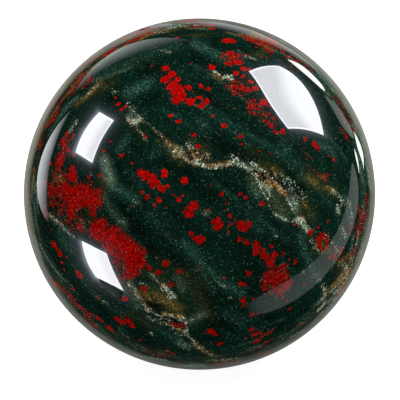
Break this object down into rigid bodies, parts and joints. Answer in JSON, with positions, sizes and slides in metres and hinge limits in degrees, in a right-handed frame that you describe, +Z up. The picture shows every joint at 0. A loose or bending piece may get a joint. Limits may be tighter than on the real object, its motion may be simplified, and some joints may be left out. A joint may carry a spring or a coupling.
{
  "type": "polished bloodstone sphere",
  "caption": "Polished sphere of dark green bloodstone with red jasper patches and cream veins, standing on a small hidden flat.",
  "frame": {"origin": "middle of the small flat that the ball stands on, straight below the ball's centre", "axes": "+Z up through the ball's centre; -Y towards the face with the large red patches, which is the face the picture shows"},
  "size_m": [0.06, 0.06, 0.0598],
  "materials": {
    "bloodstone": "mirror-polished dark green stone with red spots and patches, cream and ochre veins and a fine pale grain"
  },
  "bodies": {
    "root": {"stone": "bloodstone"}
  },
  "joints": []
}
